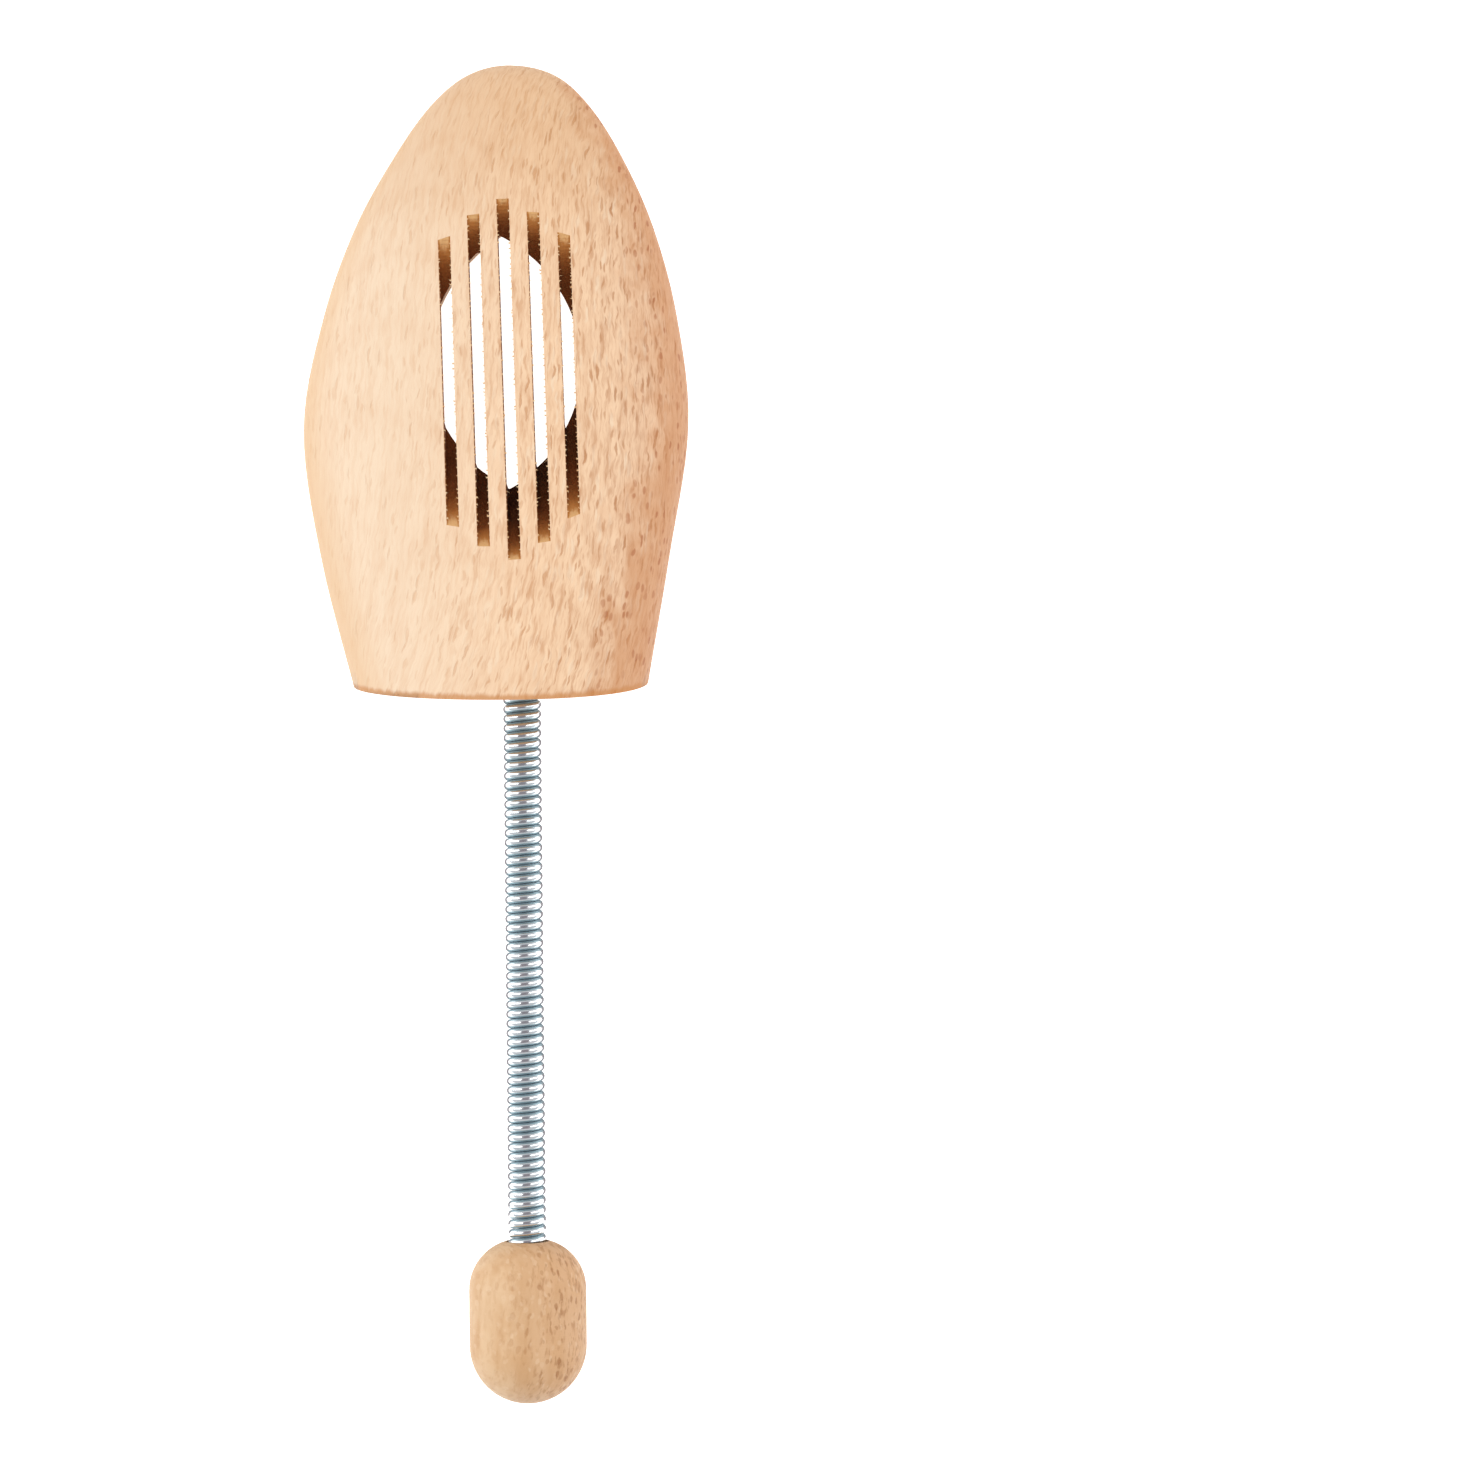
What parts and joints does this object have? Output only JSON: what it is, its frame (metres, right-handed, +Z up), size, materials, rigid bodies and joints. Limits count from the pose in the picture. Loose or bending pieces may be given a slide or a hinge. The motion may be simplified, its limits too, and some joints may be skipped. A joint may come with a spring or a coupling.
{
  "type": "shoe tree",
  "caption": "Spring shoe tree: slotted beech forepart block and turned beech heel knob joined by a closely wound zinc-plated steel coil that bends.",
  "frame": {"origin": "on the block's flat sole, under the coil's centreline, 20 mm ahead of the rear face at coil height", "axes": "+Y towards the toe along the coil, +X to the right seen from above, +Z up from the sole"},
  "size_m": [0.0809, 0.2811, 0.0403],
  "materials": {
    "block_beech": "sanded, bare",
    "knob_beech": "turned, bare",
    "zinc_wire": "bright zinc plate",
    "peg_wood": "bare dowel"
  },
  "bodies": {
    "block": {"block": "block_beech", "block_peg": "peg_wood", "spring_end_block": "zinc_wire"},
    "run_01": {"spring_run_01": "zinc_wire"},
    "run_02": {"spring_run_02": "zinc_wire"},
    "run_03": {"spring_run_03": "zinc_wire"},
    "run_04": {"spring_run_04": "zinc_wire"},
    "run_05": {"spring_run_05": "zinc_wire"},
    "run_06": {"spring_run_06": "zinc_wire"},
    "run_07": {"spring_run_07": "zinc_wire"},
    "run_08": {"spring_run_08": "zinc_wire"},
    "run_09": {"spring_run_09": "zinc_wire"},
    "run_10": {"spring_run_10": "zinc_wire"},
    "run_11": {"spring_run_11": "zinc_wire"},
    "run_12": {"spring_run_12": "zinc_wire"},
    "run_13": {"spring_run_13": "zinc_wire"},
    "run_14": {"spring_run_14": "zinc_wire"},
    "run_15": {"spring_run_15": "zinc_wire"},
    "run_16": {"spring_run_16": "zinc_wire"},
    "run_17": {"spring_run_17": "zinc_wire"},
    "run_18": {"spring_run_18": "zinc_wire"},
    "run_19": {"spring_run_19": "zinc_wire"},
    "run_20": {"spring_run_20": "zinc_wire"},
    "run_21": {"spring_run_21": "zinc_wire"},
    "run_22": {"spring_run_22": "zinc_wire"},
    "run_23": {"spring_run_23": "zinc_wire"},
    "run_24": {"spring_run_24": "zinc_wire"},
    "run_25": {"spring_run_25": "zinc_wire"},
    "knob": {"spring_end_knob": "zinc_wire", "knob_peg": "peg_wood", "knob": "knob_beech"}
  },
  "joints": [
    {"name": "bend_down", "type": "hinge", "parent": "block", "child": "run_01", "pos_m": [0, -0.02225, 0.00928], "axis": [1, 0, 0], "range_deg": [0, 9], "stiffness_Nm_per_rad": 0.8},
    {"name": "bend_right", "type": "hinge", "parent": "run_01", "child": "run_02", "pos_m": [0.00302, -0.02675, 0.0123], "axis": [0, 0, 1], "range_deg": [0, 9], "stiffness_Nm_per_rad": 0.8},
    {"name": "bend_up", "type": "hinge", "parent": "run_02", "child": "run_03", "pos_m": [0, -0.03125, 0.01532], "axis": [-1, 0, 0], "range_deg": [0, 9], "stiffness_Nm_per_rad": 0.7},
    {"name": "bend_left", "type": "hinge", "parent": "run_03", "child": "run_04", "pos_m": [-0.00302, -0.03575, 0.0123], "axis": [0, 0, -1], "range_deg": [0, 9], "stiffness_Nm_per_rad": 0.7},
    {"name": "bend_down_2", "type": "hinge", "parent": "run_04", "child": "run_05", "pos_m": [0, -0.04025, 0.00928], "axis": [1, 0, 0], "range_deg": [0, 9], "stiffness_Nm_per_rad": 0.8},
    {"name": "bend_right_2", "type": "hinge", "parent": "run_05", "child": "run_06", "pos_m": [0.00302, -0.04475, 0.0123], "axis": [0, 0, 1], "range_deg": [0, 9], "stiffness_Nm_per_rad": 0.8},
    {"name": "bend_up_2", "type": "hinge", "parent": "run_06", "child": "run_07", "pos_m": [0, -0.04925, 0.01532], "axis": [-1, 0, 0], "range_deg": [0, 9], "stiffness_Nm_per_rad": 0.7},
    {"name": "bend_left_2", "type": "hinge", "parent": "run_07", "child": "run_08", "pos_m": [-0.00302, -0.05375, 0.0123], "axis": [0, 0, -1], "range_deg": [0, 9], "stiffness_Nm_per_rad": 0.7},
    {"name": "bend_down_3", "type": "hinge", "parent": "run_08", "child": "run_09", "pos_m": [0, -0.05825, 0.00928], "axis": [1, 0, 0], "range_deg": [0, 9], "stiffness_Nm_per_rad": 0.8},
    {"name": "bend_right_3", "type": "hinge", "parent": "run_09", "child": "run_10", "pos_m": [0.00302, -0.06275, 0.0123], "axis": [0, 0, 1], "range_deg": [0, 9], "stiffness_Nm_per_rad": 0.8},
    {"name": "bend_up_3", "type": "hinge", "parent": "run_10", "child": "run_11", "pos_m": [0, -0.06725, 0.01532], "axis": [-1, 0, 0], "range_deg": [0, 9], "stiffness_Nm_per_rad": 0.7},
    {"name": "bend_left_3", "type": "hinge", "parent": "run_11", "child": "run_12", "pos_m": [-0.00302, -0.07175, 0.0123], "axis": [0, 0, -1], "range_deg": [0, 9], "stiffness_Nm_per_rad": 0.7},
    {"name": "bend_down_4", "type": "hinge", "parent": "run_12", "child": "run_13", "pos_m": [0, -0.07625, 0.00928], "axis": [1, 0, 0], "range_deg": [0, 9], "stiffness_Nm_per_rad": 0.8},
    {"name": "bend_right_4", "type": "hinge", "parent": "run_13", "child": "run_14", "pos_m": [0.00302, -0.08075, 0.0123], "axis": [0, 0, 1], "range_deg": [0, 9], "stiffness_Nm_per_rad": 0.8},
    {"name": "bend_up_4", "type": "hinge", "parent": "run_14", "child": "run_15", "pos_m": [0, -0.08525, 0.01532], "axis": [-1, 0, 0], "range_deg": [0, 9], "stiffness_Nm_per_rad": 0.7},
    {"name": "bend_left_4", "type": "hinge", "parent": "run_15", "child": "run_16", "pos_m": [-0.00302, -0.08975, 0.0123], "axis": [0, 0, -1], "range_deg": [0, 9], "stiffness_Nm_per_rad": 0.7},
    {"name": "bend_down_5", "type": "hinge", "parent": "run_16", "child": "run_17", "pos_m": [0, -0.09425, 0.00928], "axis": [1, 0, 0], "range_deg": [0, 9], "stiffness_Nm_per_rad": 0.8},
    {"name": "bend_right_5", "type": "hinge", "parent": "run_17", "child": "run_18", "pos_m": [0.00302, -0.09875, 0.0123], "axis": [0, 0, 1], "range_deg": [0, 9], "stiffness_Nm_per_rad": 0.8},
    {"name": "bend_up_5", "type": "hinge", "parent": "run_18", "child": "run_19", "pos_m": [0, -0.10325, 0.01532], "axis": [-1, 0, 0], "range_deg": [0, 9], "stiffness_Nm_per_rad": 0.7},
    {"name": "bend_left_5", "type": "hinge", "parent": "run_19", "child": "run_20", "pos_m": [-0.00302, -0.10775, 0.0123], "axis": [0, 0, -1], "range_deg": [0, 9], "stiffness_Nm_per_rad": 0.7},
    {"name": "bend_down_6", "type": "hinge", "parent": "run_20", "child": "run_21", "pos_m": [0, -0.11225, 0.00928], "axis": [1, 0, 0], "range_deg": [0, 9], "stiffness_Nm_per_rad": 0.8},
    {"name": "bend_right_6", "type": "hinge", "parent": "run_21", "child": "run_22", "pos_m": [0.00302, -0.11675, 0.0123], "axis": [0, 0, 1], "range_deg": [0, 9], "stiffness_Nm_per_rad": 0.8},
    {"name": "bend_up_6", "type": "hinge", "parent": "run_22", "child": "run_23", "pos_m": [0, -0.12125, 0.01532], "axis": [-1, 0, 0], "range_deg": [0, 9], "stiffness_Nm_per_rad": 0.7},
    {"name": "bend_left_6", "type": "hinge", "parent": "run_23", "child": "run_24", "pos_m": [-0.00302, -0.12575, 0.0123], "axis": [0, 0, -1], "range_deg": [0, 9], "stiffness_Nm_per_rad": 0.7},
    {"name": "bend_down_7", "type": "hinge", "parent": "run_24", "child": "run_25", "pos_m": [0, -0.13025, 0.00928], "axis": [1, 0, 0], "range_deg": [0, 9], "stiffness_Nm_per_rad": 0.8},
    {"name": "bend_right_7", "type": "hinge", "parent": "run_25", "child": "knob", "pos_m": [0.00302, -0.13475, 0.0123], "axis": [0, 0, 1], "range_deg": [0, 9], "stiffness_Nm_per_rad": 0.8}
  ],
  "couplings": [
    {"joint": "bend_down_2", "follows": "bend_down", "ratio": 1},
    {"joint": "bend_right_2", "follows": "bend_right", "ratio": 1},
    {"joint": "bend_up_2", "follows": "bend_up", "ratio": 1},
    {"joint": "bend_left_2", "follows": "bend_left", "ratio": 1},
    {"joint": "bend_down_3", "follows": "bend_down", "ratio": 1},
    {"joint": "bend_right_3", "follows": "bend_right", "ratio": 1},
    {"joint": "bend_up_3", "follows": "bend_up", "ratio": 1},
    {"joint": "bend_left_3", "follows": "bend_left", "ratio": 1},
    {"joint": "bend_down_4", "follows": "bend_down", "ratio": 1},
    {"joint": "bend_right_4", "follows": "bend_right", "ratio": 1},
    {"joint": "bend_up_4", "follows": "bend_up", "ratio": 1},
    {"joint": "bend_left_4", "follows": "bend_left", "ratio": 1},
    {"joint": "bend_down_5", "follows": "bend_down", "ratio": 1},
    {"joint": "bend_right_5", "follows": "bend_right", "ratio": 1},
    {"joint": "bend_up_5", "follows": "bend_up", "ratio": 1},
    {"joint": "bend_left_5", "follows": "bend_left", "ratio": 1},
    {"joint": "bend_down_6", "follows": "bend_down", "ratio": 1},
    {"joint": "bend_right_6", "follows": "bend_right", "ratio": 1},
    {"joint": "bend_up_6", "follows": "bend_up", "ratio": 1},
    {"joint": "bend_left_6", "follows": "bend_left", "ratio": 1},
    {"joint": "bend_down_7", "follows": "bend_down", "ratio": 1},
    {"joint": "bend_right_7", "follows": "bend_right", "ratio": 1}
  ]
}
